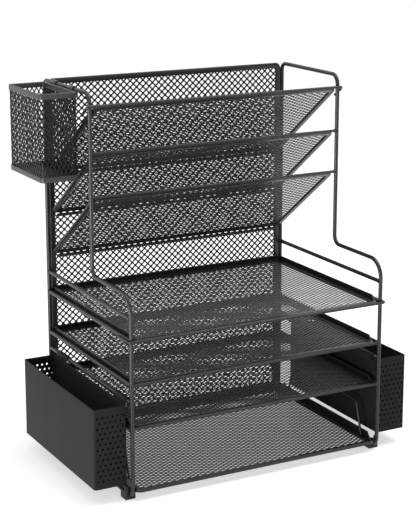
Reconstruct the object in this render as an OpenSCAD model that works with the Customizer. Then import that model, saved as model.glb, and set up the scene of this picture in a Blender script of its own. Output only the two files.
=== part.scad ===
// Desk organizer in powder-coated steel wire and expanded mesh: three sloped sorter pockets over
// three letter trays and a pull-out mesh drawer, with a hang-on pen box on each side and a mesh cup.
// X runs to the right, Y to the back and Z up. The origin is on the desk, midway between the feet.

/* [Frame] */
// Width between the two side frames, wire centre to wire centre
frame_w = 340; // [300:1:380]
// Depth of the lower part, front upright to rear upright, wire centre to wire centre
lower_d = 240; // [225:1:270]
// Depth of the upper part, which holds the pockets
upper_d = 135; // [125:1:150]
// Height of the top wire's centre above the desk
frame_h = 463; // [460:1:490]
// Diameter of the frame wire
wire_d = 5; // [4.4:0.1:5.4]
// Height of the guard wire above the top tray's front wire
guard_above_tray = 26; // [18:1:32]
// Height of the step, where the upper part begins, above the guard wire
step_above_guard = 26; // [20:1:36]
// Bend radius at the bottom corners
base_bend = 12; // [10:1:16]
// Bend radius at the front of the step
step_bend = 22; // [14:1:30]
// Bend radius at the foot of the upper part
waist_bend = 11; // [8:1:16]
// Bend radius at the top front corner
top_bend = 12; // [8:1:18]
// Bend radius at the top rear corner
rear_bend = 9; // [8:1:14]

/* [Sheet and mesh] */
// Thickness of the expanded mesh sheet
mesh_t = 1.2; // [0.8:0.1:1.6]
// Thickness of the folded edge strip's metal
strip_t = 0.7; // [0.5:0.1:0.9]
// Width of the edge strip that holds the mesh
strip_w = 7; // [6:0.5:9]
// Width of one diamond of the back panel's mesh, corner to corner
panel_cell_w = 30; // [26:1:44]
// Height of one diamond of the back panel's mesh, corner to corner
panel_cell_h = 28; // [24:1:40]
// Width of one diamond of the trays', pockets' and drawer's mesh, corner to corner
sheet_cell_w = 34; // [30:1:48]
// Depth of one diamond of the trays', pockets' and drawer's mesh, front to back
sheet_cell_d = 20; // [18:1:30]
// Width of a mesh strand
strand_w = 2.6; // [2:0.1:3.4]

/* [Trays] */
// Height of the lowest tray's front wire
tray_low_z = 88; // [80:1:96]
// Height between one tray and the next
tray_pitch = 53; // [48:1:60]
// Diameter of the front wires
front_wire_d = 3.5; // [3:0.1:4]
// Height of a tray's side wall above its front wire's centre
tray_wall_h = 6.5; // [5:0.5:9]
// How far the top tray's hooks run back from the front upright's centre
tray_hook_len = 26; // [18:1:34]
// Diameter of the rolled edge along the top of a wall
bead_d = 2.2; // [1.8:0.1:2.6]

/* [Pockets] */
// Height of the top wire above the top pocket's front wire
pocket_below_top = 18; // [15:1:26]
// How far a pocket drops from its front wire to the back panel
pocket_drop = 97.5; // [85:0.5:110]
// Height of the lowest pocket's lower edge above the top tray's front wire
pocket_above_tray = 48.5; // [36:0.5:60]
// How far the top pocket's hooks run down the slope behind the upright's centre
pocket_hook_len = 15; // [10:1:20]
// Corner radius of the pocket sheets
pocket_corner = 9; // [7.5:0.5:12]
// Diameter of the rail along a pocket's lower edge
base_rail_d = 4; // [3:0.1:5]

/* [Drawer] */
// Gap between the drawer's back and the back panel
drawer_back_gap = 9.1; // [6:0.1:30]
// Height of the drawer's side walls
drawer_wall_h = 10; // [8:0.5:13]
// Height of the lip along the drawer's front
drawer_lip_h = 4.6; // [4:0.1:6]
// Rise of the guard loops, from their feet to the centre of their top
loop_rise = 43.2; // [36:1.2:48]
// Diameter of the guard loops' wire
loop_d = 3; // [2.6:0.1:3.4]
// Corner radius of the drawer in plan
drawer_corner = 9; // [7.5:0.5:12]

/* [Feet] */
// Width of a foot across the wire
foot_w = 12; // [11:0.5:14]
// Length of a foot along the wire
foot_len = 15; // [12:0.5:20]
// Height of the tongue that stands up at the front of a foot's outer cheek
foot_h = 16.5; // [14:0.5:18]
// Width of that tongue along the wire
foot_tongue_w = 5; // [4:0.5:6]
// Height of a foot's outer cheek at its front end
foot_cheek_h = 12; // [10.5:0.5:13]
// Height of a foot's outer cheek at its rear end
foot_low_h = 8.5; // [8:0.5:10]
// Thickness of the sole under the wire
foot_sole = 2.5; // [2:0.1:4]

/* [Pen boxes] */
// Width of a pen box, away from the frame
box_w = 41.5; // [36:0.5:50]
// Depth of a pen box, front to back
box_d = 212; // [180:1:214]
// Height of a pen box
box_h = 97; // [80:1:98]
// Thickness of a pen box's sheet
box_t = 1; // [0.8:0.1:1.4]
// Corner radius of a pen box
box_corner = 3; // [2.5:0.5:6]
// Height of a pen box's rim below the centre of the rail that it hangs on
box_drop = 3; // [2:0.5:6]
// Gap between a pen box and the feet below it
box_above_foot = 3.5; // [2:0.5:8]
// Diameter of a hole in the perforated ends
hole_d = 2.8; // [2:0.1:3.4]
// Spacing of the holes across
hole_pitch_x = 6.5; // [5.5:0.1:9]
// Spacing of the rows of holes
hole_pitch_z = 6.4; // [5.5:0.1:9]
// Width of one of a pen box's hooks
hook_w = 31; // [20:1:40]

/* [Cup] */
// Width of the cup, away from the frame
cup_w = 48; // [42:0.5:56]
// Depth of the cup, front to back
cup_d = 102; // [90:1:106]
// Height of the cup
cup_h = 104.5; // [80:0.5:120]
// Height of the cup's top and bottom bands
cup_band_h = 6.5; // [5:0.5:9]
// Corner radius of the cup
cup_corner = 5; // [4.5:0.5:8]
// Width of one of the cup's hooks
cup_hook_w = 14; // [10:1:20]
// Width of one of the cup's mesh diamonds
cup_cell_w = 17; // [15:1:24]
// Height of one of the cup's mesh diamonds
cup_cell_h = 23; // [20:1:30]

/* [Hidden] */
$fn = 48;
// Gap between pieces that are welded or clipped together
seat = 0.25;
// Gap on each side of a mesh sheet inside its folded strip
slip = 0.1;
// Gap between a sliding piece and the piece that guides it
run = 0.7;
// Height by which a cutting shape passes the face it cuts
over = 1;
// Thickness of the strips that make the hooks
hook_t = 1;

// Rounds a length that comes from a root or a division to a thousandth of a millimetre
function to_thousandth(v) = round(v * 1000) / 1000;

wire_r = wire_d / 2;
front_wire_r = front_wire_d / 2;
side_x = frame_w / 2;
front_y = -lower_d / 2;
rear_y = lower_d / 2;
waist_y = rear_y - upper_d;
base_z = foot_sole + wire_r;

// Trays, numbered from the top one down, and the wires above them
TRAY_COUNT = 3;
tray_top_z = tray_low_z + (TRAY_COUNT - 1) * tray_pitch;
function tray_z(i) = tray_top_z - i * tray_pitch;
guard_z = tray_top_z + guard_above_tray;
step_z = guard_z + step_above_guard;

// A folded strip: two leaves with the mesh sheet between them
strip_h = 2 * strip_t + mesh_t + 2 * slip;
wall_t = 2 * strip_t;

// Pieces between the side frames stop this far from the middle
inner_x = side_x - wire_r - seat;
// A piece in front of an upright, or outside it, keeps this distance from the upright's centre
wrap_r = wire_r + seat + front_wire_r;
panel_front_y = rear_y - strip_h / 2;

// Back panel
panel_bottom_z = 12;
panel_above_wire = 1;
panel_top_z = frame_h + panel_above_wire;
// Radius inside the corners of a folded strip
strip_inner_corner = 1;
panel_corner = strip_w + strip_inner_corner;

// Tray sheets
tray_back_y = panel_front_y - seat;
tray_corner = strip_w + strip_inner_corner;

// Pockets, numbered from the top one down. They share out the height above the top tray
POCKET_COUNT = 3;
pocket_top_z = frame_h - pocket_below_top;
pocket_low_z = tray_top_z + pocket_above_tray + pocket_drop;
pocket_pitch = (pocket_top_z - pocket_low_z) / (POCKET_COUNT - 1);
function pocket_z(i) = pocket_top_z - i * pocket_pitch;
pocket_slope = atan(pocket_drop / (panel_front_y - waist_y));
pocket_end = (panel_front_y - seat - waist_y - strip_h / 2 * sin(pocket_slope)) / cos(pocket_slope);
// The top pocket's wire passes in front of the upright, along the slope, so it stands further off
pocket_wrap = to_thousandth(wrap_r / cos(pocket_slope));

// Runners and drawer
runner_z = base_z + wire_r;
runner_x = to_thousandth(side_x - sqrt(pow(wire_d + seat, 2) - pow(wire_r, 2)));
drawer_z = runner_z + wire_r + seat;
drawer_x = side_x - wire_r - run;
drawer_front_y = front_y - wire_r;
drawer_d = panel_front_y - drawer_back_gap - drawer_front_y;
// The guard loops stand inside the drawer's rolled edge
loop_x = drawer_x - bead_d - seat - loop_d / 2;
loop_foot_in = 27;
// The loops' ends lean back 7 in 24, a slope whose sine (0.28) and cosine (0.96) are short decimals
loop_lean = loop_rise * 7 / 24;
// The low edge of a leaning end is this far below the middle of its end
loop_end_dip = loop_d / 2 * 0.28;
loop_bend = 8;
foot_behind_upright = 3.5;
foot_y = front_y + wire_r + foot_behind_upright;
foot_round = 1.5;

// Hang-on pieces: their hooks arch over a wire and keep a loose fit round it
hook_r = wire_r + seat;
hang_x = side_x + hook_r + hook_t + seat;
box_behind_front = 6;
box_front_y = front_y + box_behind_front;
box_top_z = foot_h + box_above_foot + box_h;
rail_z = box_top_z + box_drop;
box_hook_in = 6;
box_hook_leg = 6.5;
box_hook_tail = 20;
// Plain metal round the perforated field: as many holes fit as the end plate has room for
hole_margin_x = 4;
hole_margin_z = 9.5;
HOLE_ROWS = floor((box_h - 2 * hole_margin_z) / hole_pitch_z) + 1;
HOLES_ACROSS = floor((box_w - 2 * hole_margin_x) / hole_pitch_x) + 1;
// The cup's middle hangs this far behind the middle of the top wire
cup_off_middle = 6.5;
cup_below_top = 0.5;
cup_back_y = (waist_y + rear_y) / 2 + cup_off_middle + cup_d / 2;
cup_top_z = frame_h - cup_below_top;
cup_hook_in = 18;
cup_hook_leg = 9;
cup_hook_tail = 6;
cup_skin_t = 0.7;
cup_strand_w = 2;

steel = "#2e2e31";
mesh_steel = "#3a3a3e";
sheet_steel = "#29292c";
plastic = "#161617";

// ---- Wire -------------------------------------------------------------------------------------

function heading(a, b) = atan2(b[1] - a[1], b[0] - a[0]);
function turn(a, b, c) =
    let (t = heading(b, c) - heading(a, b))
    t > 180 ? t - 360 : t < -180 ? t + 360 : t;
// Length that a bend of radius r takes from each of the two straights that meet in b
function bend_take(a, b, c, r) = r * tan(abs(turn(a, b, c)) / 2);

// A round wire bent in the XY plane along pts, with bend radius radii[i] at point i
module bent_wire(pts, radii, d, closed = false) {
    n = len(pts);
    last = closed ? n - 1 : n - 2;
    for (i = [0:last]) {
        a = pts[i];
        b = pts[(i + 1) % n];
        before = pts[(i + n - 1) % n];
        after = pts[(i + 2) % n];
        start_take = closed || i > 0 ? bend_take(before, a, b, radii[i]) : 0;
        end_take = closed || i < last ? bend_take(a, b, after, radii[(i + 1) % n]) : 0;
        translate(a)
            rotate([0, 0, heading(a, b)])
            translate([start_take, 0, 0])
            rotate([0, 90, 0])
            cylinder(d = d, h = norm(b - a) - start_take - end_take);
        if (end_take > 0)
            bend(a, b, after, radii[(i + 1) % n], d);
    }
}

// The bend in point b of a wire that comes from a and goes on to c: the part of a ring that lies
// between the ends of the two straights
module bend(a, b, c, r, d) {
    side = turn(a, b, c) > 0 ? 1 : -1;
    arrive = heading(a, b);
    leave = heading(b, c);
    start = b - bend_take(a, b, c, r) * [cos(arrive), sin(arrive)];
    // Directions from the ring's centre to the bend's two ends
    to_start = side * [sin(arrive), -cos(arrive)];
    to_end = side * [sin(leave), -cos(leave)];
    reach = 2 * (r + d);
    translate(start - r * to_start)
        intersection() {
            rotate_extrude()
                translate([r, 0])
                circle(d = d);
            translate([0, 0, -d])
                linear_extrude(2 * d)
                polygon([[0, 0], reach * to_start, reach * (to_start + to_end), reach * to_end]);
        }
}

// Turns a shape drawn in the XY plane into the side plane at x: X becomes Y, and Y becomes Z
module in_side_plane(x) {
    translate([x, 0, 0])
        rotate([90, 0, 90])
        children();
}

module upright_wire(x, y, gap) {
    translate([x, y, 0])
        cylinder(d = wire_d + 2 * gap, h = frame_h);
}

function side_path() = [
    [front_y, base_z], [front_y, step_z], [waist_y, step_z],
    [waist_y, frame_h], [rear_y, frame_h], [rear_y, base_z]
];

module side_frame(x, gap = 0) {
    in_side_plane(x)
        bent_wire(
            side_path(),
            [base_bend, step_bend, waist_bend, top_bend, rear_bend, base_bend],
            wire_d + 2 * gap, closed = true
        );
}

// A wire welded between the front and rear uprights, its ends coped to fit round them
module cross_wire(x, z) {
    difference() {
        translate([x, front_y, z])
            rotate([-90, 0, 0])
            cylinder(d = wire_d, h = lower_d);
        upright_wire(x, front_y, seat);
        upright_wire(x, rear_y, seat);
    }
}

module tray_rails(x) {
    for (i = [0:TRAY_COUNT - 1])
        cross_wire(x, tray_z(i));
}

module drawer_runner(side) {
    runner_len = lower_d - 2 * (foot_y - front_y + foot_len + seat);
    translate([side * runner_x, -runner_len / 2, runner_z])
        rotate([-90, 0, 0])
        cylinder(d = wire_d, h = runner_len);
}

// ---- Mesh and its folded edge strip ------------------------------------------------------------

module rounded_rect(w, d, r) {
    square([w - 2 * r, d], center = true);
    square([w, d - 2 * r], center = true);
    for (sx = [-1, 1], sy = [-1, 1])
        translate([sx * (w / 2 - r), sy * (d / 2 - r)])
            circle(r = r);
}

function clamp(v, most) = max(-most, min(most, v));

// One mesh opening round centre c, cut off at the sides of the open area w by h
function diamond(c, rx, ry, w, h) = [
    for (p = [[rx, 0], [0, ry], [-rx, 0], [0, -ry]])
        [clamp(c[0] + p[0], w / 2), clamp(c[1] + p[1], h / 2)]
];

// Centres of the openings: whole rows, and between them rows that are shifted by half a diamond
function lattice(w, h, nx, ny) = concat(
    [for (j = [0:ny - 1], i = [0:nx - 1])
        [(i + 0.5) * w / nx - w / 2, (j + 0.5) * h / ny - h / 2]],
    [for (j = [0:ny], i = [0:nx])
        [i * w / nx - w / 2, j * h / ny - h / 2]]
);

// Openings of expanded mesh over an area w by h, as a flat pattern
module mesh_openings(w, h, cw, ch, strand) {
    nx = max(2, round(w / cw));
    ny = max(2, round(h / ch));
    rx = w / nx / 2;
    ry = h / ny / 2;
    // A strand's width, measured along the diamond's two diagonals
    across = strand / 2 * norm([rx, ry]) / ry;
    along = strand / 2 * norm([rx, ry]) / rx;
    for (c = lattice(w, h, nx, ny))
        polygon(diamond(c, rx - across, ry - along, w, h));
}

// A flat mesh sheet w by d, with a plain border that the folded strip covers
module mesh_sheet(w, d, r, cw = sheet_cell_w, ch = sheet_cell_d) {
    edge = strip_t + slip;
    linear_extrude(mesh_t)
        difference() {
            rounded_rect(w - 2 * edge, d - 2 * edge, r - edge);
            mesh_openings(w - 2 * strip_w, d - 2 * strip_w, cw, ch, strand_w);
        }
}

// The folded strip round such a sheet: a flat ring with a slot that holds the sheet's border
module strip_ring(w, d, r) {
    difference() {
        linear_extrude(strip_h)
            rounded_rect(w, d, r);
        translate([0, 0, -over])
            linear_extrude(strip_h + 2 * over)
            rounded_rect(w - 2 * strip_w, d - 2 * strip_w, r - strip_w);
        translate([0, 0, strip_t])
            linear_extrude(mesh_t + 2 * slip)
            rounded_rect(w - 2 * strip_t, d - 2 * strip_t, r - strip_t);
    }
}

// A wall that stands on the strip's upper leaf, along both sides and the back, with a rolled edge.
// It begins front_gap behind the front, and its front ends slope up
module side_and_back_wall(w, d, r, wall_h, front_gap) {
    path_in = wall_t / 2;
    start = -d / 2 + front_gap;
    slope = wall_h - strip_h;
    intersection() {
        translate([0, 0, strip_h - strip_t])
            linear_extrude(wall_h - strip_h + strip_t)
            difference() {
                rounded_rect(w, d, r);
                rounded_rect(w - 2 * wall_t, d - 2 * wall_t, r - wall_t);
            }
        in_side_plane(-w / 2 - over)
            linear_extrude(w + 2 * over)
            polygon([
                [start, 0], [start, strip_h], [start + slope, wall_h],
                [d / 2 + over, wall_h], [d / 2 + over, 0]
            ]);
    }
    translate([0, 0, wall_h - bead_d / 2 + wall_t / 2])
        bent_wire(
            [
                [-w / 2 + path_in, start + slope], [-w / 2 + path_in, d / 2 - path_in],
                [w / 2 - path_in, d / 2 - path_in], [w / 2 - path_in, start + slope]
            ],
            [0, r - path_in, r - path_in, 0], bead_d
        );
}

// ---- Trays -------------------------------------------------------------------------------------

// The top tray's front wire passes in front of the uprights, and so does its sheet's front edge
function tray_wire_y(i) = i == 0 ? front_y - wrap_r : front_y;
function tray_front_y(i) = tray_wire_y(i) + front_wire_r + seat;
function tray_d(i) = tray_back_y - tray_front_y(i);
tray_w = 2 * (inner_x - bead_d / 2 + wall_t / 2);

module at_tray(i) {
    translate([0, (tray_front_y(i) + tray_back_y) / 2, tray_z(i) - strip_h / 2])
        children();
}

module tray_rim(i) {
    at_tray(i) {
        strip_ring(tray_w, tray_d(i), tray_corner);
        side_and_back_wall(
            tray_w, tray_d(i) - bead_d + wall_t, tray_corner, tray_wall_h + strip_h / 2, tray_corner + over
        );
    }
}

module tray_mesh(i) {
    at_tray(i)
        translate([0, 0, strip_t + slip])
        mesh_sheet(tray_w, tray_d(i), tray_corner);
}

module hooked_front_wire() {
    hook_x = side_x + wrap_r;
    translate([0, 0, tray_z(0)])
        bent_wire(
            [
                [-hook_x, front_y + tray_hook_len], [-hook_x, tray_wire_y(0)],
                [hook_x, tray_wire_y(0)], [hook_x, front_y + tray_hook_len]
            ],
            [0, wrap_r, wrap_r, 0], front_wire_d
        );
}

// A wire along X, welded between the two uprights at y
module straight_front_wire(y, z) {
    difference() {
        translate([-side_x, y, z])
            rotate([0, 90, 0])
            cylinder(d = front_wire_d, h = frame_w);
        upright_wire(-side_x, y, seat);
        upright_wire(side_x, y, seat);
    }
}

module tray_front_wire(i) {
    if (i == 0)
        hooked_front_wire();
    else
        straight_front_wire(tray_wire_y(i), tray_z(i));
}

// ---- Back panel --------------------------------------------------------------------------------

module at_back_panel() {
    translate([0, rear_y + strip_h / 2, (panel_bottom_z + panel_top_z) / 2])
        rotate([90, 0, 0])
        children();
}

module back_panel_frame() {
    at_back_panel()
        strip_ring(2 * inner_x, panel_top_z - panel_bottom_z, panel_corner);
}

module back_panel_mesh() {
    at_back_panel()
        translate([0, 0, strip_t + slip])
        mesh_sheet(
            2 * inner_x, panel_top_z - panel_bottom_z, panel_corner, panel_cell_w, panel_cell_h
        );
}

// ---- Pockets -----------------------------------------------------------------------------------

// In a pocket's own frame Y runs down the slope, from the upright's centre, and Z out of the sheet
module in_pocket(i) {
    translate([0, waist_y, pocket_z(i)])
        rotate([-pocket_slope, 0, 0])
        children();
}

function pocket_wire_y(i) = i == 0 ? -pocket_wrap : 0;
function pocket_start(i) = pocket_wire_y(i) + front_wire_r + seat;
function pocket_len(i) = pocket_end - pocket_start(i);

module on_pocket_sheet(i, height) {
    in_pocket(i)
        translate([0, pocket_start(i) + pocket_len(i) / 2, height - strip_h / 2])
        children();
}

module pocket_rim(i) {
    on_pocket_sheet(i, 0)
        strip_ring(2 * inner_x, pocket_len(i), pocket_corner);
}

module pocket_mesh(i) {
    on_pocket_sheet(i, strip_t + slip)
        mesh_sheet(2 * inner_x, pocket_len(i), pocket_corner);
}

module pocket_front_wire(i) {
    hook_x = side_x + wrap_r;
    if (i == 0)
        in_pocket(i)
            bent_wire(
                [
                    [-hook_x, pocket_hook_len], [-hook_x, -pocket_wrap],
                    [hook_x, -pocket_wrap], [hook_x, pocket_hook_len]
                ],
                [0, wrap_r, wrap_r, 0], front_wire_d
            );
    else
        straight_front_wire(waist_y, pocket_z(i));
}

// The rail lies under the sheet's lower edge, against the back panel
module pocket_base_rail(i) {
    rail_r = base_rail_d / 2;
    rail_y = panel_front_y - seat - rail_r;
    below = (strip_h / 2 + seat + rail_r) / cos(pocket_slope);
    sheet_z = pocket_z(i) - (rail_y - waist_y) * tan(pocket_slope);
    translate([-inner_x + pocket_corner, rail_y, sheet_z - below])
        rotate([0, 90, 0])
        cylinder(d = base_rail_d, h = 2 * (inner_x - pocket_corner));
}

// ---- Feet --------------------------------------------------------------------------------------

// A foot seen from the side, with its front end at X = 0: the cheek's top slopes down to the rear,
// and a round-topped tongue stands up at the front
module foot_outline() {
    tongue_r = foot_tongue_w / 2;
    polygon([
        [foot_round, 0], [foot_len - foot_round, 0], [foot_len, foot_round],
        [foot_len, foot_low_h], [0, foot_cheek_h], [0, foot_round]
    ]);
    for (x = [foot_round, foot_len - foot_round])
        translate([x, foot_round])
            circle(r = foot_round);
    translate([0, foot_round])
        square([foot_tongue_w, foot_h - foot_round - tongue_r]);
    translate([tongue_r, foot_h - tongue_r])
        circle(r = tongue_r);
}

// A clip-on foot: the wire lies in a slot between a tall outer cheek and a low inner one
module foot(side, front) {
    inner_top = drawer_z - 2 * seat;
    mirror([0, front ? 0 : 1, 0])
        difference() {
            translate([side * side_x - foot_w / 2, foot_y, 0])
                rotate([90, 0, 90])
                linear_extrude(foot_w)
                foot_outline();
            side_frame(side * side_x, seat);
            translate([side * side_x - wire_r - seat, foot_y - over, base_z])
                cube([wire_d + 2 * seat, foot_len + 2 * over, foot_h]);
            translate([side * (side_x - foot_w / 2) - foot_w / 2, foot_y - over, inner_top])
                cube([foot_w, foot_len + 2 * over, foot_h]);
        }
}

// ---- Drawer ------------------------------------------------------------------------------------

module at_drawer() {
    translate([0, drawer_front_y + drawer_d / 2, drawer_z])
        children();
}

module drawer_rim() {
    bead_out = bead_d - wall_t;
    at_drawer() {
        strip_ring(2 * drawer_x - bead_out, drawer_d, drawer_corner);
        side_and_back_wall(
            2 * drawer_x - bead_out, drawer_d, drawer_corner, drawer_wall_h, drawer_corner + over
        );
    }
}

module drawer_mesh() {
    at_drawer()
        translate([0, 0, strip_t + slip])
        mesh_sheet(2 * drawer_x - bead_d + wall_t, drawer_d, drawer_corner);
}

// The lip is a low strip round the front edge, ahead of the rim and round both front corners
module drawer_front_lip() {
    w = 2 * drawer_x - bead_d + wall_t;
    lip_back = drawer_corner;
    at_drawer()
        intersection() {
            linear_extrude(drawer_lip_h)
                difference() {
                    rounded_rect(w + 2 * (strip_t + slip), drawer_d + 2 * (strip_t + slip), drawer_corner);
                    rounded_rect(w + 2 * slip, drawer_d + 2 * slip, drawer_corner - strip_t);
                }
            translate([-w, -drawer_d / 2 - 2 * over, -over])
                cube([2 * w, lip_back + 2 * over, drawer_lip_h + 2 * over]);
        }
}

// A wire loop that stands on the drawer's side strip: leaning ends, and a long level top
module drawer_guard(side) {
    foot_z = drawer_z + strip_h + seat + loop_end_dip;
    top_z = foot_z + loop_rise;
    first_y = drawer_front_y + loop_foot_in;
    last_y = drawer_front_y + drawer_d - loop_foot_in;
    in_side_plane(side * loop_x)
        bent_wire(
            [
                [first_y, foot_z], [first_y + loop_lean, top_z],
                [last_y - loop_lean, top_z], [last_y, foot_z]
            ],
            [0, loop_bend, loop_bend, 0], loop_d
        );
}

// ---- Hang-on pen boxes and cup -----------------------------------------------------------------

// A strip hook seen along Y, round a wire whose centre is the origin: it arches over the wire, with
// a short leg inside the frame and a long tail outside it
module hook_outline(leg, tail) {
    difference() {
        union() {
            circle(r = hook_r + hook_t);
            translate([0, -leg])
                square([hook_r + hook_t, leg]);
            translate([-hook_r - hook_t, -tail])
                square([hook_r + hook_t, tail]);
        }
        circle(r = hook_r);
        translate([-hook_r, -leg - tail])
            square([2 * hook_r, leg + tail]);
    }
}

// Drawn for the left side, where the frame is to the right of the hook
module hook(leg, tail, width) {
    translate([0, width / 2, 0])
        rotate([90, 0, 0])
        linear_extrude(width)
        hook_outline(leg, tail);
}

module on_side(side) {
    mirror([side > 0 ? 1 : 0, 0, 0])
        children();
}

// Holes of the perforated ends, seen along Y, with the middle of the lowest row at the origin
module hole_field() {
    for (row = [0:HOLE_ROWS - 1]) {
        count = HOLES_ACROSS - row % 2;
        for (k = [0:count - 1])
            translate([(k - (count - 1) / 2) * hole_pitch_x, row * hole_pitch_z])
                circle(d = hole_d);
    }
}

module box_shell(side) {
    on_side(side)
        translate([-hang_x - box_w / 2, box_front_y + box_d / 2, box_top_z - box_h])
        difference() {
            linear_extrude(box_h)
                rounded_rect(box_w, box_d, box_corner);
            translate([0, 0, box_t])
                linear_extrude(box_h)
                rounded_rect(box_w - 2 * box_t, box_d - 2 * box_t, box_corner - box_t);
            translate([0, box_d / 2 + over, hole_margin_z])
                rotate([90, 0, 0])
                linear_extrude(box_d + 2 * over)
                hole_field();
        }
}

module box_hooks(side) {
    first = box_front_y + box_hook_in + hook_w / 2;
    last = box_front_y + box_d - box_hook_in - hook_w / 2;
    on_side(side)
        for (y = [first, last])
            translate([-side_x, y, rail_z])
                hook(box_hook_leg, box_hook_tail, hook_w);
}

module at_cup(height) {
    translate([-hang_x - cup_w / 2, cup_back_y - cup_d / 2, cup_top_z - cup_h + height])
        children();
}

// The cup's mesh wall is one sheet bent round four corners, between the base and the top band
module cup_mesh() {
    skin = cup_skin_t + slip;
    wall_h = cup_h - 2 * skin;
    open_h = cup_h - 2 * cup_band_h;
    w = cup_w - 2 * skin;
    d = cup_d - 2 * skin;
    r = cup_corner - skin;
    at_cup(skin)
        difference() {
            linear_extrude(wall_h)
                difference() {
                    rounded_rect(w, d, r);
                    rounded_rect(w - 2 * mesh_t, d - 2 * mesh_t, r - mesh_t);
                }
            translate([0, d / 2 + over, wall_h / 2])
                rotate([90, 0, 0])
                linear_extrude(d + 2 * over)
                mesh_openings(w - 2 * r, open_h, cup_cell_w, cup_cell_h, cup_strand_w);
            translate([-w / 2 - over, 0, wall_h / 2])
                rotate([90, 0, 90])
                linear_extrude(w + 2 * over)
                mesh_openings(d - 2 * r, open_h, cup_cell_w, cup_cell_h, cup_strand_w);
        }
}

// The top band is folded over the mesh, so it has an outer and an inner skin
module cup_top_band() {
    skin = cup_skin_t;
    slot = skin + mesh_t + 2 * slip;
    at_cup(cup_h - cup_band_h)
        difference() {
            linear_extrude(cup_band_h)
                rounded_rect(cup_w, cup_d, cup_corner);
            translate([0, 0, -over])
                linear_extrude(cup_band_h + 2 * over)
                rounded_rect(cup_w - 2 * (slot + skin), cup_d - 2 * (slot + skin), cup_corner - slot - skin);
            translate([0, 0, -over])
                linear_extrude(cup_band_h + over - skin)
                difference() {
                    rounded_rect(cup_w - 2 * skin, cup_d - 2 * skin, cup_corner - skin);
                    rounded_rect(cup_w - 2 * slot, cup_d - 2 * slot, cup_corner - slot);
                }
        }
}

// The base is a shallow pan, and the mesh stands in it
module cup_base() {
    at_cup(0)
        difference() {
            linear_extrude(cup_band_h)
                rounded_rect(cup_w, cup_d, cup_corner);
            translate([0, 0, cup_skin_t])
                linear_extrude(cup_band_h)
                rounded_rect(cup_w - 2 * cup_skin_t, cup_d - 2 * cup_skin_t, cup_corner - cup_skin_t);
        }
}

module cup_hooks() {
    first = cup_back_y - cup_d + cup_hook_in + cup_hook_w / 2;
    last = cup_back_y - cup_hook_in - cup_hook_w / 2;
    for (y = [first, last])
        translate([-side_x, y, frame_h])
            hook(cup_hook_leg, cup_hook_tail, cup_hook_w);
}

// ---- The pieces by name ------------------------------------------------------------------------

color(steel) side_frame(-side_x);  // left_side_frame
color(steel) side_frame(side_x);  // right_side_frame
color(steel) cross_wire(-side_x, guard_z);  // left_guard_wire
color(steel) cross_wire(side_x, guard_z);  // right_guard_wire
color(steel) tray_rails(-side_x);  // left_tray_rails
color(steel) tray_rails(side_x);  // right_tray_rails
color(steel) cross_wire(-side_x, rail_z);  // left_accessory_rail
color(steel) cross_wire(side_x, rail_z);  // right_accessory_rail
color(steel) drawer_runner(-1);  // left_drawer_runner
color(steel) drawer_runner(1);  // right_drawer_runner

color(plastic) foot(-1, true);  // left_front_foot
color(plastic) foot(-1, false);  // left_rear_foot
color(plastic) foot(1, true);  // right_front_foot
color(plastic) foot(1, false);  // right_rear_foot

color(steel) back_panel_frame();
color(mesh_steel) back_panel_mesh();

color(steel) tray_rim(0);  // tray_1_rim
color(mesh_steel) tray_mesh(0);  // tray_1_mesh
color(steel) tray_front_wire(0);  // tray_1_front_wire
color(steel) tray_rim(1);  // tray_2_rim
color(mesh_steel) tray_mesh(1);  // tray_2_mesh
color(steel) tray_front_wire(1);  // tray_2_front_wire
color(steel) tray_rim(2);  // tray_3_rim
color(mesh_steel) tray_mesh(2);  // tray_3_mesh
color(steel) tray_front_wire(2);  // tray_3_front_wire

color(steel) pocket_rim(0);  // pocket_1_rim
color(mesh_steel) pocket_mesh(0);  // pocket_1_mesh
color(steel) pocket_front_wire(0);  // pocket_1_front_wire
color(steel) pocket_base_rail(0);  // pocket_1_base_rail
color(steel) pocket_rim(1);  // pocket_2_rim
color(mesh_steel) pocket_mesh(1);  // pocket_2_mesh
color(steel) pocket_front_wire(1);  // pocket_2_front_wire
color(steel) pocket_base_rail(1);  // pocket_2_base_rail
color(steel) pocket_rim(2);  // pocket_3_rim
color(mesh_steel) pocket_mesh(2);  // pocket_3_mesh
color(steel) pocket_front_wire(2);  // pocket_3_front_wire
color(steel) pocket_base_rail(2);  // pocket_3_base_rail

color(steel) drawer_rim();
color(mesh_steel) drawer_mesh();
color(steel) drawer_front_lip();
color(steel) drawer_guard(-1);  // drawer_left_guard
color(steel) drawer_guard(1);  // drawer_right_guard

color(sheet_steel) box_shell(-1);  // left_box_shell
color(sheet_steel) box_hooks(-1);  // left_box_hooks
color(sheet_steel) box_shell(1);  // right_box_shell
color(sheet_steel) box_hooks(1);  // right_box_hooks

color(mesh_steel) cup_mesh();
color(steel) cup_top_band();
color(steel) cup_base();
color(steel) cup_hooks();
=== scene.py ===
import math

import bmesh
import bpy
import numpy as np
from mathutils import Matrix, Vector


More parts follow.
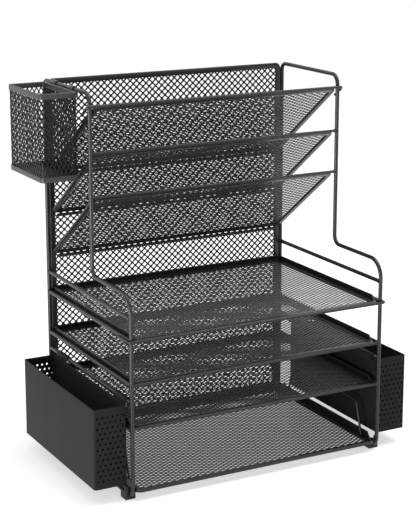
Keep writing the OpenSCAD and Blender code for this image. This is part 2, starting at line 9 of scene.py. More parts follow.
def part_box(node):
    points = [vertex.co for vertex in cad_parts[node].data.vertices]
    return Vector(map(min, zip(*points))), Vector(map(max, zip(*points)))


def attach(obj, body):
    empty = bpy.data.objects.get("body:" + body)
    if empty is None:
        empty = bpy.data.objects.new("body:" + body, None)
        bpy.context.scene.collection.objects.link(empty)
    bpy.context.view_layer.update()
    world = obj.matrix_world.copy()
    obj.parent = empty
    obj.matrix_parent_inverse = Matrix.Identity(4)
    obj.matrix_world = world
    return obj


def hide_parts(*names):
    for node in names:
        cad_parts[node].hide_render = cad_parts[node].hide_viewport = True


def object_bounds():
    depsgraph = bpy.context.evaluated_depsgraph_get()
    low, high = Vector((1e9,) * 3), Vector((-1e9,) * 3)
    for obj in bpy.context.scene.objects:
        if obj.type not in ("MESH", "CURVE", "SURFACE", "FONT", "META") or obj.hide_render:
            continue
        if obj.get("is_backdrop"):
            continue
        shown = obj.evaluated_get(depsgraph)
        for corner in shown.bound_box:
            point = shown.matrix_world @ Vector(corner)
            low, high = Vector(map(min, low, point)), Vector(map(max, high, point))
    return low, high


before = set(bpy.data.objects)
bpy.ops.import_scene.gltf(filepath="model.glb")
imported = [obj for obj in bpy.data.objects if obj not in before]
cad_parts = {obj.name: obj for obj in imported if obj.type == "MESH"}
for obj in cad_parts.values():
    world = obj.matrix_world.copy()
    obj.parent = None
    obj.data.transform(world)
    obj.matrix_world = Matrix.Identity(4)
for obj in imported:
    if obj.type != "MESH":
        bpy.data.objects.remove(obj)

scene = bpy.context.scene
scene.view_settings.view_transform = "Standard"
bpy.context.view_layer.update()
mm = 0.001

# ---- Camera ------------------------------------------------------------------------------------
# A long lens from the front left, a little above the organizer. The lens's axis passes a little
# above the picture's middle, so that the uprights stand nearly parallel, as in the photograph.
image_h = 520
sensor = 36.0
focal_px = 1528.3
axis_above_middle_px = 40
camera_yaw, camera_pitch = math.radians(-28.34), math.radians(-13.09)
lens = bpy.data.cameras.new("studio_camera")
lens.sensor_width = sensor
lens.lens = focal_px / image_h * sensor
lens.shift_y = -axis_above_middle_px / image_h
lens.clip_end = 20
camera = bpy.data.objects.new("studio_camera", lens)
camera.location = (-0.8782, -1.6160, 0.7197)
camera.rotation_euler = (math.pi / 2 + camera_pitch, 0, camera_yaw)
scene.collection.objects.link(camera)
scene.camera = camera

# ---- Studio ------------------------------------------------------------------------------------
# A white sweep, three soft lamps and a light panel that lies on the floor. The floor and the
# surroundings look white to the camera and in reflections, and the floor keeps a pale shadow.


def seen_directly(tree):
    """A value that is 1 for camera, glossy and transmission rays and 0 for the rest."""
    rays = tree.nodes.new("ShaderNodeLightPath")
    some = tree.nodes.new("ShaderNodeMath")
    some.operation = "MAXIMUM"
    tree.links.new(rays.outputs["Is Camera Ray"], some.inputs[0])
    tree.links.new(rays.outputs["Is Glossy Ray"], some.inputs[1])
    every = tree.nodes.new("ShaderNodeMath")
    every.operation = "MAXIMUM"
    tree.links.new(some.outputs[0], every.inputs[0])
    tree.links.new(rays.outputs["Is Transmission Ray"], every.inputs[1])
    return every.outputs[0]


ambient_level = 0.55
world = bpy.data.worlds.new("white_sweep")
world.use_nodes = True
scene.world = world
sky = world.node_tree
background = sky.nodes["Background"]
background.inputs["Color"].default_value = (1, 1, 1, 1)
level = sky.nodes.new("ShaderNodeMapRange")
level.inputs["To Min"].default_value = ambient_level
level.inputs["To Max"].default_value = 1.0
sky.links.new(seen_directly(sky), level.inputs["Value"])
sky.links.new(level.outputs["Result"], background.inputs["Strength"])

# Half of the floor's width, its paint, and the glow that lifts it to white where it is seen
floor_half, floor_white, floor_lift = 4.0, (0.8, 0.8, 0.8, 1), 0.55
floor_mesh = bpy.data.meshes.new("floor")
floor_mesh.from_pydata(
    [(-floor_half, -floor_half, 0), (floor_half, -floor_half, 0),
     (floor_half, floor_half, 0), (-floor_half, floor_half, 0)],
    [], [(0, 1, 2, 3)])
floor = bpy.data.objects.new("floor", floor_mesh)
scene.collection.objects.link(floor)
floor_paint = bpy.data.materials.new("white_floor")
floor_paint.use_nodes = True
paint = floor_paint.node_tree
paint.nodes.clear()
matt = paint.nodes.new("ShaderNodeBsdfDiffuse")
matt.inputs["Color"].default_value = floor_white
pale = paint.nodes.new("ShaderNodeBsdfDiffuse")
pale.inputs["Color"].default_value = floor_white
lift = paint.nodes.new("ShaderNodeEmission")
lift.inputs["Strength"].default_value = floor_lift
lifted = paint.nodes.new("ShaderNodeAddShader")
choice = paint.nodes.new("ShaderNodeMixShader")
out = paint.nodes.new("ShaderNodeOutputMaterial")
paint.links.new(pale.outputs[0], lifted.inputs[0])
paint.links.new(lift.outputs[0], lifted.inputs[1])
paint.links.new(seen_directly(paint), choice.inputs["Fac"])
paint.links.new(matt.outputs[0], choice.inputs[1])
paint.links.new(lifted.outputs[0], choice.inputs[2])
paint.links.new(choice.outputs[0], out.inputs["Surface"])
floor_mesh.materials.append(floor_paint)
floor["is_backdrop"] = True

# Name, place, the point it is turned to, width and height in metres, and power in watts. The left
# lamp stands low and the panel lies beside the organizer, turned up: the upright wires mirror both.
# The camera doesn't see the lamps themselves
organizer_middle = (0, 0, 0.22)
lamps = (
    ("left_softbox", (-1.55, -0.42, 0.16), organizer_middle, 0.7, 0.28, 9),
    ("floor_panel", (-0.95, -0.45, 0.004), (-0.95, -0.45, 1), 0.8, 0.8, 10),
    ("top_softbox", (0.1, -0.1, 2.3), organizer_middle, 1.0, 1.0, 14),
    ("right_softbox", (0.85, -0.5, 1.75), organizer_middle, 0.6, 0.6, 8),
)
for lamp_name, lamp_at, aimed_at, lamp_w, lamp_h, watts in lamps:
    lamp_data = bpy.data.lights.new(lamp_name, "AREA")
    lamp_data.shape = "RECTANGLE"
    lamp_data.size, lamp_data.size_y = lamp_w, lamp_h
    lamp_data.energy = watts
    lamp = bpy.data.objects.new(lamp_name, lamp_data)
    lamp.location = lamp_at
    aim = Vector(aimed_at) - Vector(lamp_at)
    lamp.rotation_euler = aim.to_track_quat("-Z", "Y").to_euler()
    lamp.visible_camera = False
    scene.collection.objects.link(lamp)

# ---- Side frames, rails, guard wires and runners -----------------------------------------------
# Two loops of 5 mm steel wire with cross wires butt-welded between the uprights, all dipped in the
# same satin black powder coat. The coat has a fine orange peel and a slight drift in tone.


def shader_group(name, inputs, outputs):
    """A node group with these named inputs (name, socket type, value) and outputs (name, type)."""
    group = bpy.data.node_groups.new(name, "ShaderNodeTree")
    for label, kind, value in inputs:
        socket = group.interface.new_socket(label, in_out="INPUT", socket_type=kind)
        socket.default_value = value
    for label, kind in outputs:
        group.interface.new_socket(label, in_out="OUTPUT", socket_type=kind)
    return group, group.nodes.new("NodeGroupInput"), group.nodes.new("NodeGroupOutput")


coat_group, coat_in, coat_out = shader_group(
    "powder_coat",
    (("Colour", "NodeSocketColor", (0.02, 0.02, 0.02, 1)), ("Tone Drift", "NodeSocketFloat", 0.15),
     ("Grain Scale", "NodeSocketFloat", 1400.0), ("Gloss Low", "NodeSocketFloat", 0.4),
     ("Gloss High", "NodeSocketFloat", 0.5)),
    (("Colour", "NodeSocketColor"), ("Roughness", "NodeSocketFloat"),
     ("Height", "NodeSocketFloat")))
# Patches of tone to a metre, the grain's share in the tone, and the noise's used span for each
patch_scale, grain_in_tone = 22, 0.3
tone_span, gloss_span = (0.4, 0.9), (0.3, 0.7)
coat_place = coat_group.nodes.new("ShaderNodeTexCoord")
grain = coat_group.nodes.new("ShaderNodeTexNoise")
grain.inputs["Detail"].default_value = 3
grain.inputs["Roughness"].default_value = 0.6
coat_group.links.new(coat_place.outputs["Object"], grain.inputs["Vector"])
coat_group.links.new(coat_in.outputs["Grain Scale"], grain.inputs["Scale"])
drift = coat_group.nodes.new("ShaderNodeTexNoise")
drift.inputs["Scale"].default_value = patch_scale
drift.inputs["Detail"].default_value = 4
coat_group.links.new(coat_place.outputs["Object"], drift.inputs["Vector"])
# Tone: darker and lighter patches, with a trace of the grain on top
tone_mix = coat_group.nodes.new("ShaderNodeMath")
tone_mix.operation = "MULTIPLY_ADD"
tone_mix.inputs[1].default_value = grain_in_tone
coat_group.links.new(grain.outputs["Fac"], tone_mix.inputs[0])
coat_group.links.new(drift.outputs["Fac"], tone_mix.inputs[2])
tone_range = coat_group.nodes.new("ShaderNodeMapRange")
tone_range.inputs["From Min"].default_value = tone_span[0]
tone_range.inputs["From Max"].default_value = tone_span[1]
darkest = coat_group.nodes.new("ShaderNodeMath")
darkest.operation = "SUBTRACT"
darkest.inputs[0].default_value = 1
lightest = coat_group.nodes.new("ShaderNodeMath")
lightest.inputs[0].default_value = 1
coat_group.links.new(coat_in.outputs["Tone Drift"], darkest.inputs[1])
coat_group.links.new(coat_in.outputs["Tone Drift"], lightest.inputs[1])
coat_group.links.new(tone_mix.outputs[0], tone_range.inputs["Value"])
coat_group.links.new(darkest.outputs[0], tone_range.inputs["To Min"])
coat_group.links.new(lightest.outputs[0], tone_range.inputs["To Max"])
toned = coat_group.nodes.new("ShaderNodeVectorMath")
toned.operation = "SCALE"
coat_group.links.new(coat_in.outputs["Colour"], toned.inputs[0])
coat_group.links.new(tone_range.outputs["Result"], toned.inputs["Scale"])
gloss_range = coat_group.nodes.new("ShaderNodeMapRange")
coat_group.links.new(drift.outputs["Fac"], gloss_range.inputs["Value"])
gloss_range.inputs["From Min"].default_value = gloss_span[0]
gloss_range.inputs["From Max"].default_value = gloss_span[1]
coat_group.links.new(coat_in.outputs["Gloss Low"], gloss_range.inputs["To Min"])
coat_group.links.new(coat_in.outputs["Gloss High"], gloss_range.inputs["To Max"])
coat_group.links.new(toned.outputs["Vector"], coat_out.inputs["Colour"])
coat_group.links.new(gloss_range.outputs["Result"], coat_out.inputs["Roughness"])
coat_group.links.new(grain.outputs["Fac"], coat_out.inputs["Height"])
peel_strength = 0.6


def coated(name, colour, drift_amount, grain_scale, gloss, peel, specular):
    """A painted material: the powder coat group feeds a shader of the material's own."""
    material = bpy.data.materials.new(name)
    material.use_nodes = True
    tree = material.node_tree
    shader = tree.nodes["Principled BSDF"]
    shader.inputs["Specular IOR Level"].default_value = specular
    coat = tree.nodes.new("ShaderNodeGroup")
    coat.node_tree = coat_group
    coat.inputs["Colour"].default_value = (*colour, 1)
    coat.inputs["Tone Drift"].default_value = drift_amount
    coat.inputs["Grain Scale"].default_value = grain_scale
    coat.inputs["Gloss Low"].default_value, coat.inputs["Gloss High"].default_value = gloss
    bump = tree.nodes.new("ShaderNodeBump")
    bump.inputs["Distance"].default_value = peel
    bump.inputs["Strength"].default_value = peel_strength
    tree.links.new(coat.outputs["Colour"], shader.inputs["Base Color"])
    tree.links.new(coat.outputs["Roughness"], shader.inputs["Roughness"])
    tree.links.new(coat.outputs["Height"], bump.inputs["Height"])
    tree.links.new(bump.outputs["Normal"], shader.inputs["Normal"])
    return material


wire_coat = coated("satin_black_wire", (0.014, 0.014, 0.0145), drift_amount=0.15, grain_scale=1300,
                   gloss=(0.26, 0.32), peel=0.03 * mm, specular=0.42)


def keep_node(node, material):
    """A carried-over node keeps its shape and gets a finish."""
    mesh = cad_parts[node].data
    mesh.materials.clear()
    mesh.materials.append(material)


for side in ("left", "right"):
    for part in ("side_frame", "guard_wire", "tray_rails", "accessory_rail", "drawer_runner"):
        keep_node(f"{side}_{part}", wire_coat)
low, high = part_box("right_side_frame")
side_x, wire_r = (low.x + high.x) / 2, (high.x - low.x) / 2
front_y, rear_y = low.y + wire_r, high.y - wire_r


def shell(points, faces):
    """One closed surface of a piece, as an array of points and a list of faces."""
    return np.array(points, float).reshape(-1, 3), [tuple(f) for f in faces]


def new_piece(name, shells, material, body, replaced=(), place=None, crease=40, orient=True):
    """Joins shells into one mesh, smooth up to the crease angle, and fixes it to a body. With
    orient, its faces are all turned outwards."""
    points, faces, first = [], [], 0
    for shell_points, shell_faces in shells:
        points.append(shell_points)
        faces += [tuple(first + v for v in f) for f in shell_faces]
        first += len(shell_points)
    points = np.concatenate(points)
    if place is not None:
        turned = np.array(place.to_3x3())
        points = points @ turned.T + np.array(place.translation)
    mesh = bpy.data.meshes.new(name)
    mesh.from_pydata(points.tolist(), [], faces)
    if orient:
        work = bmesh.new()
        work.from_mesh(mesh)
        bmesh.ops.recalc_face_normals(work, faces=work.faces)
        work.to_mesh(mesh)
        work.free()
    mesh.polygons.foreach_set("use_smooth", [True] * len(mesh.polygons))
    mesh.set_sharp_from_angle(angle=math.radians(crease))
    mesh.materials.append(material)
    piece = bpy.data.objects.new(name, mesh)
    scene.collection.objects.link(piece)
    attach(piece, body)
    if replaced:
        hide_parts(*replaced)
    return piece


def turned_ring(profile, steps, at, axis, wobble, seed):
    """Revolves (along, radius) points about an axis. Wobble makes the lumps of a hand-run weld."""
    rng = np.random.default_rng(seed)
    axis = Vector(axis)
    across = axis.orthogonal().normalized()
    other = axis.cross(across)
    points = []
    lumps = 1 + wobble * rng.standard_normal((steps, len(profile)))
    for i in range(steps):
        angle = 2 * math.pi * i / steps
        spoke = across * math.cos(angle) + other * math.sin(angle)
        for j, (along, radius) in enumerate(profile):
            points.append(Vector(at) + axis * along + spoke * radius * lumps[i, j])
    count = len(profile)
    faces = []
    for i in range(steps):
        for j in range(count):
            faces.append((i * count + j, ((i + 1) % steps) * count + j,
                          ((i + 1) % steps) * count + (j + 1) % count, i * count + (j + 1) % count))
    return shell(points, faces)


def weld_collar(at, axis, rod_r, seed):
    """The fillet of weld round a rod's end, where it meets an upright of the frame wire."""
    root, toe, thick = 1.2 * mm, wire_r + 2.0 * mm, 0.55 * mm
    profile = [(root, rod_r * 0.8), (toe, rod_r * 0.9), (toe, rod_r + 0.05 * mm),
               (toe - 0.8 * mm, rod_r + 0.2 * mm), (toe - 1.6 * mm, rod_r + thick),
               (root, rod_r + thick)]
    return turned_ring(profile, steps=16, at=at, axis=axis, wobble=0.03, seed=seed)


def mid_box(node):
    """The middle of a node's box."""
    lowest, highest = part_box(node)
    return (lowest + highest) / 2


cross_heights = [mid_box(node).z for node in (
    "left_guard_wire", "tray_1_front_wire", "tray_2_front_wire", "tray_3_front_wire",
    "left_accessory_rail")]
for side, x in (("left", -side_x), ("right", side_x)):
    collars = []
    for k, height in enumerate(cross_heights):
        collars.append(weld_collar((x, front_y, height), (0, 1, 0), wire_r, 10 + k))
        collars.append(weld_collar((x, rear_y, height), (0, -1, 0), wire_r, 20 + k))
    new_piece(f"{side}_frame_welds", collars, wire_coat, "frame")

# ---- Feet --------------------------------------------------------------------------------------
# Four moulded black plastic blocks that clip over the bottom wires. Their edges are rounded by the
# mould, and the plastic is dull with a fine spark-eroded grain.


# Points closer than this are one point. Faces within the first angle, in degrees, are one plane,
# and a bend over the second is an edge
same_point, same_plane, edge_angle = 0.001 * mm, 0.5, 35


def softened(name, node, radius, material, body):
    """A copy of a node's shape with its sharp edges rounded, which stands for the node."""
    work = bmesh.new()
    work.from_mesh(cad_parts[node].data)
    bmesh.ops.remove_doubles(work, verts=work.verts, dist=same_point)
    bmesh.ops.dissolve_limit(work, angle_limit=math.radians(same_plane), verts=work.verts,
                             edges=work.edges)
    sharp = [edge for edge in work.edges
             if len(edge.link_faces) == 2 and edge.calc_face_angle() > math.radians(edge_angle)]
    bmesh.ops.bevel(work, geom=sharp, offset=radius, segments=2, profile=0.5, affect="EDGES",
                    clamp_overlap=True)
    work.verts.index_update()
    points = np.array([v.co for v in work.verts])
    faces = [tuple(v.index for v in f.verts) for f in work.faces]
    work.free()
    return new_piece(name, [(points, faces)], material, body, replaced=(node,),
                     crease=edge_angle)


foot_plastic = coated("foot_moulding", (0.012, 0.012, 0.0125), drift_amount=0.1, grain_scale=2600,
                      gloss=(0.55, 0.62), peel=0.03 * mm, specular=0.4)
for side in ("left", "right"):
    for end in ("front", "rear"):
        softened(f"{side}_{end}_foot_block", f"{side}_{end}_foot", 0.5 * mm, foot_plastic,
                 "frame")

# ---- Back panel --------------------------------------------------------------------------------
# One sheet of expanded steel mesh, slit and stretched into diamonds with thicker knots where the
# strands meet. Its edge is held in a folded strip, pressed flat and rounded along the fold.

strip_w, strip_t, slot_h = 7 * mm, 0.7 * mm, 1.4 * mm
strip_h = 2 * strip_t + slot_h


def rounded_outline(width, depth, corner, steps=7):
    """Points and outward directions of a rounded rectangle about the origin, counter-clockwise."""
    points, outs = [], []
    for k, (sx, sy) in enumerate(((1, 1), (-1, 1), (-1, -1), (1, -1))):
        for s in range(steps + 1):
            angle = math.pi / 2 * (k + s / steps)
            out_x, out_y = math.cos(angle), math.sin(angle)
            points.append((sx * (width / 2 - corner) + corner * out_x,
                           sy * (depth / 2 - corner) + corner * out_y))
            outs.append((out_x, out_y))
    return points, outs


def arc(at, radius, start, end, steps):
    """Points of an arc, from one angle in degrees to another, both ends included."""
    return [(at[0] + radius * math.cos(math.radians(start + (end - start) * s / steps)),
             at[1] + radius * math.sin(math.radians(start + (end - start) * s / steps)))
            for s in range(steps + 1)]


def swept(profile, path, outs, closed, lean=None):
    """Sweeps a closed (out, up) profile along a path. An open sweep's ends lean back upwards."""
    points = []
    last = len(path) - 1
    for i, ((x, y), (out_x, out_y)) in enumerate(zip(path, outs)):
        for out, up in profile:
            back = lean(up) if lean and i in (0, last) else 0.0
            points.append((x + out_x * out, y + out_y * out + back, up))
    count = len(profile)
    faces = []
    for i in range(len(path) if closed else last):
        after = (i + 1) % len(path)
        for j in range(count):
            up_one = (j + 1) % count
            faces.append((i * count + j, after * count + j,
                          after * count + up_one, i * count + up_one))
    if not closed:
        faces.append(tuple(range(count)))
        faces.append(tuple(last * count + j for j in range(count)))
    return shell(points, faces)


def folded_strip(width, depth, corner):
    """The strip round a mesh sheet: two leaves joined by a round fold, the sheet between them."""
    fold, lip, half = strip_h / 2, 0.2 * mm, slot_h / 2
    edge, bend = strip_w - lip, half * 0.7
    profile = [(-edge, -fold), *arc((-fold, 0), fold, -90, 90, 8), (-edge, fold),
               *arc((-edge, fold - strip_t / 2), strip_t / 2, 90, 270, 4)[1:],
               (-edge / 2, half), (-fold, half), (-fold + bend, bend), (-fold + half, 0),
               (-fold + bend, -bend), (-fold, -half), (-edge / 2, -half),
               *arc((-edge, -fold + strip_t / 2), strip_t / 2, 90, 270, 4)[:-1]]
    return swept(profile, *rounded_outline(width, depth, corner), True)


def expanded_sheet(width, depth, cell_w, cell_h, strand, sheet_t, knot_t, edge_t, wrap=False):
    """Expanded mesh as (along, across, thickness) points and faces, centred on zero.

    Each opening is a ring of metal from the middle of its strands to the opening's own outline,
    where the metal thins to edge_t. Neighbouring rings share their outer corners, so the sheet is
    one closed surface."""
    nx, ny = round(width / cell_w), round(depth / cell_h)
    rx, ry = width / nx / 2, depth / ny / 2
    whole = [(2 * i + 1, 2 * j + 1) for j in range(ny) for i in range(nx)]
    between = [(2 * i, 2 * j) for j in range(1, ny) for i in range(0 if wrap else 1, nx)]
    centres = np.array(whole + between)
    # The ring's eight corners, in quarters of a diamond: knots at the even ones, strands between
    corners = np.array([(2, 0), (1, 1), (0, 2), (-1, 1), (-2, 0), (-1, -1), (0, -2), (1, -1)])
    outer = centres[:, None, :] * 2 + corners
    period = 4 * nx
    keyed = outer[..., 0] % period if wrap else outer[..., 0]
    _, first, ring = np.unique(keyed * (8 * ny + 1) + outer[..., 1], return_index=True,
                               return_inverse=True)
    ring = ring.reshape(outer.shape[:2])
    grid = outer.reshape(-1, 2)[first]
    rim = np.column_stack([grid[:, 0] * rx / 2 - width / 2, grid[:, 1] * ry / 2 - depth / 2])
    is_knot = (grid[:, 0] % 2 == 0)
    rim_t = np.where(is_knot, knot_t / 2, sheet_t / 2)
    # The opening: its sides stand half a strand in from the strands' middles, its tips are blunt
    side_in = strand / 2 * np.array([ry, rx]) / math.hypot(rx, ry)
    blunt = strand * 0.62
    tip = np.array([rx, ry]) - blunt * math.hypot(rx, ry) / np.array([ry, rx])
    inner = np.array([(tip[0], 0), (rx / 2 - side_in[0], ry / 2 - side_in[1]),
                      (0, tip[1]), (-rx / 2 + side_in[0], ry / 2 - side_in[1]),
                      (-tip[0], 0), (-rx / 2 + side_in[0], -ry / 2 + side_in[1]),
                      (0, -tip[1]), (rx / 2 - side_in[0], -ry / 2 + side_in[1])])
    middle = centres * np.array([rx, ry]) - np.array([width, depth]) / 2
    hole = (middle[:, None, :] + inner).reshape(-1, 2)
    hole_t = np.full(len(hole), edge_t / 2)
    flat = np.concatenate([rim, hole])
    half_t = np.concatenate([rim_t, hole_t])
    points = np.concatenate([np.column_stack([flat, half_t]), np.column_stack([flat, -half_t])])
    under = len(flat)
    lip = len(rim) + np.arange(len(hole)).reshape(-1, 8)
    ring_next, lip_next = np.roll(ring, -1, axis=1), np.roll(lip, -1, axis=1)
    top = np.stack([ring, ring_next, lip_next, lip], axis=2).reshape(-1, 4)
    bottom = top[:, ::-1] + under
    wall = np.stack([lip, lip_next, lip_next + under, lip + under], axis=2).reshape(-1, 4)
    faces = [top, bottom, wall]
    # The sheet's own edge, where a ring has no neighbour
    edges = np.stack([ring, ring_next], axis=2).reshape(-1, 2)
    ordered = np.sort(edges, axis=1)
    _, where, count = np.unique(ordered[:, 0] * under + ordered[:, 1], return_inverse=True,
                                return_counts=True)
    start, end = edges[count[where.reshape(-1)] == 1].T
    faces.append(np.column_stack([start, start + under, end + under, end]))
    return points, np.concatenate(faces)


# The sheet reaches this far under the strip, so that its zigzag edge stays hidden
sheet_in_strip = 5.3 * mm
panel_coat = coated("satin_black_panel_mesh", (0.010, 0.010, 0.0105), drift_amount=0.12,
                    grain_scale=1500, gloss=(0.36, 0.44), peel=0.03 * mm, specular=0.2)


def mesh_in_strip(name, width, depth, cell, strand, thickness, node, body, place, coat):
    """The mesh sheet that fills a folded strip of this outer size. The thickness is given at the
    middle of the strands, at the knots and at the openings' edges."""
    inside = 2 * (strip_w - sheet_in_strip)
    points, faces = expanded_sheet(width - inside, depth - inside, *cell, strand, *thickness)
    return new_piece(name, [(points, faces.tolist())], coat, body,
                     replaced=(node,), place=place, crease=50, orient=False)


panel_low, panel_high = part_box("back_panel_frame")
panel_size = panel_high - panel_low
panel_middle = (panel_low + panel_high) / 2
panel_place = Matrix.Translation(panel_middle) @ Matrix.Rotation(math.pi / 2, 4, "X")
strip_corner = strip_w + 1 * mm
panel_cell, panel_strand = (9.0 * mm, 8.5 * mm), 1.6 * mm
panel_thickness = (1.05 * mm, 1.35 * mm, 0.84 * mm)
new_piece("back_panel_strip", [folded_strip(panel_size.x, panel_size.z, strip_corner)], wire_coat,
          "frame", replaced=("back_panel_frame",), place=panel_place)
mesh_in_strip("back_panel_sheet", panel_size.x, panel_size.z, panel_cell, panel_strand,
              panel_thickness, "back_panel_mesh", "frame", panel_place, panel_coat)

# ---- Trays -------------------------------------------------------------------------------------
# Three shelves of finer mesh, with its long diagonal along the front, in the same folded strip.
# Along the sides and the back the strip is turned up into a low wall with a rolled edge, and a wire
# runs along the front.

bead_r, wall_t = 1.1 * mm, 1.4 * mm
bead_out = bead_r - wall_t / 2
fine_cell, fine_strand = (10.4 * mm, 5.9 * mm), 1.8 * mm
fine_thickness = (0.6 * mm, 0.75 * mm, 0.3 * mm)

# Painted light: the flats of the mesh strands get a painted highlight, and the cut walls of the
# openings are darkened as painted shade.
painted_light_group, painted_light_in, painted_light_out = shader_group(
    "painted_flat_light",
    (("Colour", "NodeSocketColor", (0.02, 0.02, 0.02, 1)),
     ("Sheet Normal", "NodeSocketVector", (0, 0, 1)), ("Wall Painted Shade", "NodeSocketFloat", 0.1)),
    (("Colour", "NodeSocketColor"),))
# A face this square to the sheet's normal starts to count as a flat, and counts fully at the second
flat_from, flat_full = 0.3, 0.8
painted_light_place = painted_light_group.nodes.new("ShaderNodeTexCoord")
facing = painted_light_group.nodes.new("ShaderNodeVectorMath")
facing.operation = "DOT_PRODUCT"
either_side = painted_light_group.nodes.new("ShaderNodeMath")
either_side.operation = "ABSOLUTE"
flat_range = painted_light_group.nodes.new("ShaderNodeMapRange")
flat_range.inputs["From Min"].default_value = flat_from
flat_range.inputs["From Max"].default_value = flat_full
painted_light_tone = painted_light_group.nodes.new("ShaderNodeVectorMath")
painted_light_tone.operation = "SCALE"
painted_light_group.links.new(painted_light_place.outputs["Normal"], facing.inputs[0])
painted_light_group.links.new(painted_light_in.outputs["Sheet Normal"], facing.inputs[1])
painted_light_group.links.new(facing.outputs["Value"], either_side.inputs[0])
painted_light_group.links.new(either_side.outputs[0], flat_range.inputs["Value"])
painted_light_group.links.new(painted_light_in.outputs["Wall Painted Shade"], flat_range.inputs["To Min"])
painted_light_group.links.new(painted_light_in.outputs["Colour"], painted_light_tone.inputs[0])
painted_light_group.links.new(flat_range.outputs["Result"], painted_light_tone.inputs["Scale"])
painted_light_group.links.new(painted_light_tone.outputs["Vector"], painted_light_out.inputs["Colour"])


def with_painted_flat_light(material, sheet_normal, wall_painted_shade):
    """Paints a highlight onto a sheet's flats and shade onto the cut walls of its openings."""
    tree = material.node_tree
    base = tree.nodes["Principled BSDF"].inputs["Base Color"]
    painted_light = tree.nodes.new("ShaderNodeGroup")
    painted_light.node_tree = painted_light_group
    painted_light.inputs["Sheet Normal"].default_value = sheet_normal
    painted_light.inputs["Wall Painted Shade"].default_value = wall_painted_shade
    tree.links.new(base.links[0].from_socket, painted_light.inputs["Colour"])
    tree.links.new(painted_light.outputs["Colour"], base)
    return material


# The tray mesh's colour is set far above the other coats so that its flats carry a painted
# highlight; the walls of its openings keep a twentieth of it as painted shade.
tray_coat = with_painted_flat_light(
    coated("satin_black_tray_mesh", (0.085, 0.085, 0.087), drift_amount=0.12, grain_scale=1500,
           gloss=(0.34, 0.42), peel=0.03 * mm, specular=0.25),
    sheet_normal=(0, 0, 1), wall_painted_shade=0.05)


def rolled_wall(width, depth, corner, wall_h, front_gap):
    """The low wall on both sides and the back. Its front ends slope back at 45 degrees."""
    base = strip_h / 2 - strip_t
    bead_up = wall_h - strip_h / 2 - bead_r + wall_t / 2
    dip = math.degrees(math.acos(wall_t / 2 / bead_r))
    profile = [(-wall_t, base), (0, base),
               *arc((-wall_t / 2, bead_up), bead_r, -dip, 180 + dip, 12)]
    points, outs = rounded_outline(width, depth, corner)
    half = len(points) // 2
    start = -depth / 2 + front_gap
    path = [(width / 2, start), *points[:half], (-width / 2, start)]
    ways = [(1, 0), *outs[:half], (-1, 0)]
    return swept(profile, path, ways, False, lean=lambda up: max(0.0, up - strip_h / 2))


wall_front_gap = strip_corner + 1 * mm
for i in (1, 2, 3):
    low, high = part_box(f"tray_{i}_rim")
    tray_w, tray_d = high.x - low.x - 2 * bead_out, high.y - low.y
    tray_wall_h = high.z - low.z - wall_t / 2
    tray_place = Matrix.Translation(
        ((low.x + high.x) / 2, (low.y + high.y) / 2, low.z + strip_h / 2))
    new_piece(f"tray_{i}_strip",
              [folded_strip(tray_w, tray_d, strip_corner),
               rolled_wall(tray_w, tray_d - 2 * bead_out, strip_corner, tray_wall_h,
                           wall_front_gap)],
              wire_coat, "frame", replaced=(f"tray_{i}_rim",), place=tray_place)
    mesh_in_strip(f"tray_{i}_sheet", tray_w, tray_d, fine_cell, fine_strand, fine_thickness,
                  f"tray_{i}_mesh", "frame", tray_place, tray_coat)
    keep_node(f"tray_{i}_front_wire", wire_coat)

low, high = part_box("tray_2_front_wire")
front_wire_r = (high.z - low.z) / 2


def front_wire_welds(name, nodes, seed):
    """The welds at both ends of each straight front wire."""
    collars = []
    for k, node in enumerate(nodes):
        at = mid_box(node)
        for way in (-1, 1):
            collars.append(weld_collar((-way * side_x, at.y, at.z), (way, 0, 0), front_wire_r,
                                       seed + 2 * k + (way > 0)))
    new_piece(name, collars, wire_coat, "frame")


front_wire_welds("tray_wire_welds", ("tray_2_front_wire", "tray_3_front_wire"), 40)

# ---- Pockets -----------------------------------------------------------------------------------
# Three mesh sheets in folded strips that slope down from the upper uprights to the back panel, each
# with a wire along its front edge and a rail along its foot.

low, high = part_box("pocket_2_rim")
pocket_slope = math.atan2(high.z - low.z, high.y - low.y)
for _ in range(12):
    # The strip's thickness adds a little to both sides of the sloped sheet's box
    pocket_slope = math.atan2(high.z - low.z - strip_h * math.cos(pocket_slope),
                              high.y - low.y - strip_h * math.sin(pocket_slope))
pocket_corner = 9 * mm
# The pocket sheets get the same painted highlight on their flats; the walls of their openings keep
# a tenth of the colour as painted shade.
pocket_coat = with_painted_flat_light(
    coated("satin_black_pocket_mesh", (0.035, 0.035, 0.036), drift_amount=0.12, grain_scale=1500,
           gloss=(0.34, 0.42), peel=0.03 * mm, specular=0.25),
    sheet_normal=(0, math.sin(pocket_slope), math.cos(pocket_slope)), wall_painted_shade=0.1)
for i in (1, 2, 3):
    low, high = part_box(f"pocket_{i}_rim")
    middle = (low + high) / 2
    sheet_len = ((high.y - low.y) - strip_h * math.sin(pocket_slope)) / math.cos(pocket_slope)
    pocket_place = Matrix.Translation(middle) @ Matrix.Rotation(-pocket_slope, 4, "X")
    pocket_w = high.x - low.x
    new_piece(f"pocket_{i}_strip", [folded_strip(pocket_w, sheet_len, pocket_corner)], wire_coat,
              "frame", replaced=(f"pocket_{i}_rim",), place=pocket_place)
    mesh_in_strip(f"pocket_{i}_sheet", pocket_w, sheet_len, fine_cell, fine_strand, fine_thickness,
                  f"pocket_{i}_mesh", "frame", pocket_place, pocket_coat)
    keep_node(f"pocket_{i}_front_wire", wire_coat)
    keep_node(f"pocket_{i}_base_rail", wire_coat)

front_wire_welds("pocket_wire_welds", ("pocket_2_front_wire", "pocket_3_front_wire"), 50)

# ---- Drawer ------------------------------------------------------------------------------------
# A shallow mesh tray that slides on two rods. Its wall stands a little higher than a tray's, a low
# lip closes the front, and a bent wire loop on each side keeps its load in.

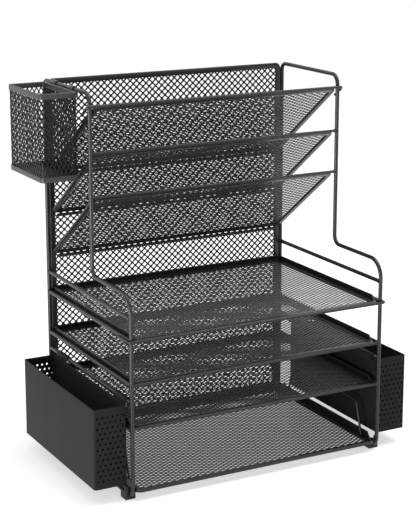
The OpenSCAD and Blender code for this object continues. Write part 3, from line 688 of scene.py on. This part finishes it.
low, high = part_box("drawer_rim")
drawer_w, drawer_d = high.x - low.x - 2 * bead_out, high.y - low.y - bead_out
drawer_place = Matrix.Translation(((low.x + high.x) / 2, low.y + drawer_d / 2, low.z + strip_h / 2))
drawer_corner, drawer_wall_h = 9 * mm, high.z - low.z - wall_t / 2
drawer_front_gap = drawer_corner + 1 * mm
new_piece("drawer_strip",
          [folded_strip(drawer_w, drawer_d, drawer_corner),
           rolled_wall(drawer_w, drawer_d, drawer_corner, drawer_wall_h, drawer_front_gap)],
          wire_coat, "drawer", replaced=("drawer_rim",), place=drawer_place)
# The drawer's sheet has the trays' coat, with its painted highlight on the flats and painted shade
# on the openings' walls.
mesh_in_strip("drawer_sheet", drawer_w, drawer_d, fine_cell, fine_strand, fine_thickness,
              "drawer_mesh", "drawer", drawer_place, tray_coat)
softened("drawer_lip", "drawer_front_lip", 0.22 * mm, wire_coat, "drawer")
for side in ("left", "right"):
    keep_node(f"drawer_{side}_guard", wire_coat)

# ---- Pen boxes ---------------------------------------------------------------------------------
# Each is folded from 1 mm sheet steel, with rows of punched holes in its two ends and a pair of
# strip hooks that hang on the accessory rail. The coat is smoother and a little lighter here.

sheet_coat = coated("charcoal_sheet", (0.025, 0.0244, 0.0249), drift_amount=0.06, grain_scale=1700,
                    gloss=(0.42, 0.48), peel=0.025 * mm, specular=0.04)
for side in ("left", "right"):
    body = f"{side}_pen_box"
    softened(f"{side}_box_case", f"{side}_box_shell", 0.3 * mm, sheet_coat, body)
    softened(f"{side}_box_clips", f"{side}_box_hooks", 0.25 * mm, sheet_coat, body)

# ---- Cup ---------------------------------------------------------------------------------------
# A small mesh basket with a folded band round its mouth and a pressed pan for a base. Two strip
# hooks hang it on the left frame's top wire.

low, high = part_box("cup_top_band")
cup_size = high - low
cup_corner, skin, band_slot = 5 * mm, 0.7 * mm, 1.4 * mm
cup_middle = (low + high) / 2
cup_coat = coated("satin_black_cup", (0.032, 0.032, 0.033), drift_amount=0.12, grain_scale=1500,
                  gloss=(0.34, 0.40), peel=0.03 * mm, specular=0.5)
fold_r = (2 * skin + band_slot) / 2
drop = cup_size.z
band = [(0, -drop), *arc((-fold_r, -fold_r), fold_r, 0, 180, 8), (-2 * fold_r, -drop),
        (-2 * fold_r + skin, -drop), *arc((-fold_r, -fold_r), fold_r - skin, 180, 0, 6),
        (-skin, -drop)]
new_piece("cup_band", [swept(band, *rounded_outline(cup_size.x, cup_size.y, cup_corner), True)],
          cup_coat, "pen_cup", replaced=("cup_top_band",),
          place=Matrix.Translation((cup_middle.x, cup_middle.y, high.z)))

mesh_low, mesh_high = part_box("cup_mesh")
wall_inset = skin + band_slot / 2
wrap_w, wrap_d = cup_size.x - 2 * wall_inset, cup_size.y - 2 * wall_inset
wrap_corner = cup_corner - wall_inset
outline, outline_out = rounded_outline(wrap_w, wrap_d, wrap_corner, steps=12)
outline, outline_out = np.array(outline + outline[:1]), np.array(outline_out + outline_out[:1])
stations = np.concatenate([[0], np.cumsum(np.linalg.norm(np.diff(outline, axis=0), axis=1))])
basket_margin = 1 * mm
basket_h = (mesh_high.z - mesh_low.z) - 2 * basket_margin
cup_strand, cup_thickness = 1.2 * mm, (0.95 * mm, 1.2 * mm, 0.75 * mm)
points, faces = expanded_sheet(stations[-1], basket_h, fine_cell[1], fine_cell[0], cup_strand,
                               *cup_thickness, wrap=True)
along = (points[:, 0] + stations[-1] / 2) % stations[-1]
at_x = np.interp(along, stations, outline[:, 0])
at_y = np.interp(along, stations, outline[:, 1])
out_x = np.interp(along, stations, outline_out[:, 0])
out_y = np.interp(along, stations, outline_out[:, 1])
basket = np.column_stack([cup_middle.x + at_x + out_x * points[:, 2],
                          cup_middle.y + at_y + out_y * points[:, 2],
                          (mesh_low.z + mesh_high.z) / 2 + points[:, 1]])
new_piece("cup_basket", [(basket, faces.tolist())], panel_coat, "pen_cup",
          replaced=("cup_mesh",), crease=50, orient=False)
softened("cup_pan", "cup_base", 0.2 * mm, cup_coat, "pen_cup")
softened("cup_clips", "cup_hooks", 0.25 * mm, cup_coat, "pen_cup")

# ---- Sizes -------------------------------------------------------------------------------------
# The box round everything rendered except the floor. The dressed organizer stays inside the box of
# its frame.
low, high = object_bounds()
